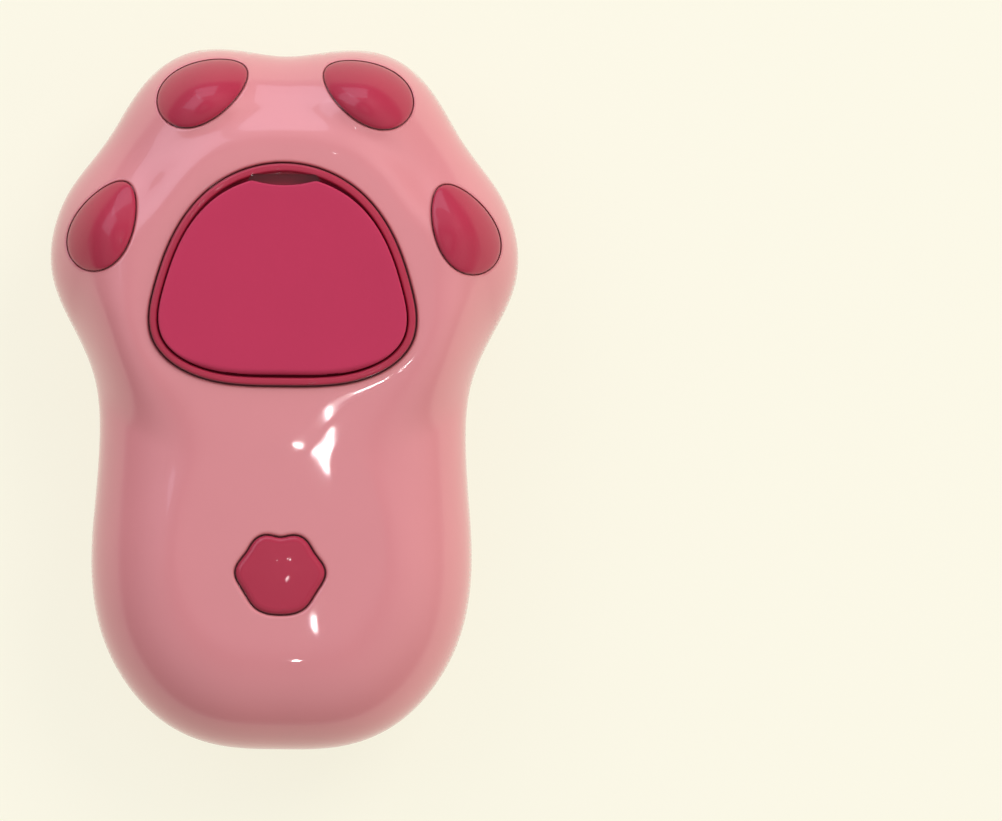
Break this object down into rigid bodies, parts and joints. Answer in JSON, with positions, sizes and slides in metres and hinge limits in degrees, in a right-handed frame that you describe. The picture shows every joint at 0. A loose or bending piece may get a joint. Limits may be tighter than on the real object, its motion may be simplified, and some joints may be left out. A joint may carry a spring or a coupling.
{
  "type": "bristle brush",
  "caption": "Paw-shaped pet bath brush: silicone bristle pad with a steel roller ball, shampoo tank under a palm-shaped flip lid, and a pump button on the handle.",
  "frame": {"origin": "under the middle of the outline, in the plane of the bristle tips that it stands on", "axes": "+Y from the handle towards the toes, +Z from the bristle tips up to the palm lid, X across"},
  "size_m": [0.093, 0.1397, 0.0438],
  "materials": {
    "pink_gloss_shell": "high gloss light pink ABS",
    "magenta_gloss": "high gloss dark magenta ABS",
    "magenta_matte_lid": "matte magenta soft-touch silicone",
    "pink_silicone": "matte pink silicone",
    "polished_steel": "polished stainless steel",
    "spring_steel": "drawn steel wire and screws",
    "dark_rubber": "matte black rubber",
    "pale_plastic": "pale moulded plastic",
    "pale_silicone": "translucent pale silicone"
  },
  "bodies": {
    "housing": {"top_shell": "pink_gloss_shell", "bottom_shell": "pink_gloss_shell", "pad_carrier": "pale_plastic", "brush_pad": "pink_silicone", "palm_ring": "magenta_gloss", "cap_hinge_pin": "polished_steel", "reservoir_tub": "pale_plastic", "tank_gasket": "dark_rubber", "outlet_housing": "pale_plastic", "outlet_o_ring": "dark_rubber", "ball_collar": "pink_gloss_shell", "ball_seal": "dark_rubber", "valve_spring": "spring_steel", "button_spring": "spring_steel", "pump_bulb": "dark_rubber", "pump_cover": "pale_plastic", "pump_base": "pale_plastic", "air_inlet_valve": "dark_rubber", "air_tube": "pale_silicone", "toe_pad_1": "magenta_gloss", "toe_pad_2": "magenta_gloss", "toe_pad_3": "magenta_gloss", "toe_pad_4": "magenta_gloss", "housing_screw_1": "spring_steel", "housing_screw_2": "spring_steel", "housing_screw_3": "spring_steel", "housing_screw_4": "spring_steel", "housing_screw_5": "spring_steel", "housing_screw_6": "spring_steel"},
    "lid": {"fill_cap": "magenta_matte_lid", "cap_seal": "dark_rubber"},
    "pump_button": {"button": "magenta_gloss"},
    "valve_cup": {"ball_cup": "pale_plastic"},
    "ball": {"roller_ball": "polished_steel"}
  },
  "joints": [
    {"name": "lid_hinge", "type": "hinge", "parent": "housing", "child": "lid", "pos_m": [0, 0.00625, 0.0421], "axis": [1, 0, 0], "range_deg": [0, 60]},
    {"name": "button_press", "type": "slide", "parent": "housing", "child": "pump_button", "axis": [0, 0, -1], "range_m": [0, 0.0025], "stiffness_N_per_m": 500, "springref_m": -0.002, "deforming": ["button_spring", "pump_bulb"]},
    {"name": "ball_lift", "type": "slide", "parent": "housing", "child": "valve_cup", "axis": [0, 0, 1], "range_m": [0, 0.0012], "stiffness_N_per_m": 400, "springref_m": -0.002, "deforming": ["valve_spring"]},
    {"name": "ball_roll", "type": "hinge", "parent": "valve_cup", "child": "ball", "pos_m": [0, 0.0084, 0.0164], "axis": [1, 0, 0], "continuous": true}
  ]
}
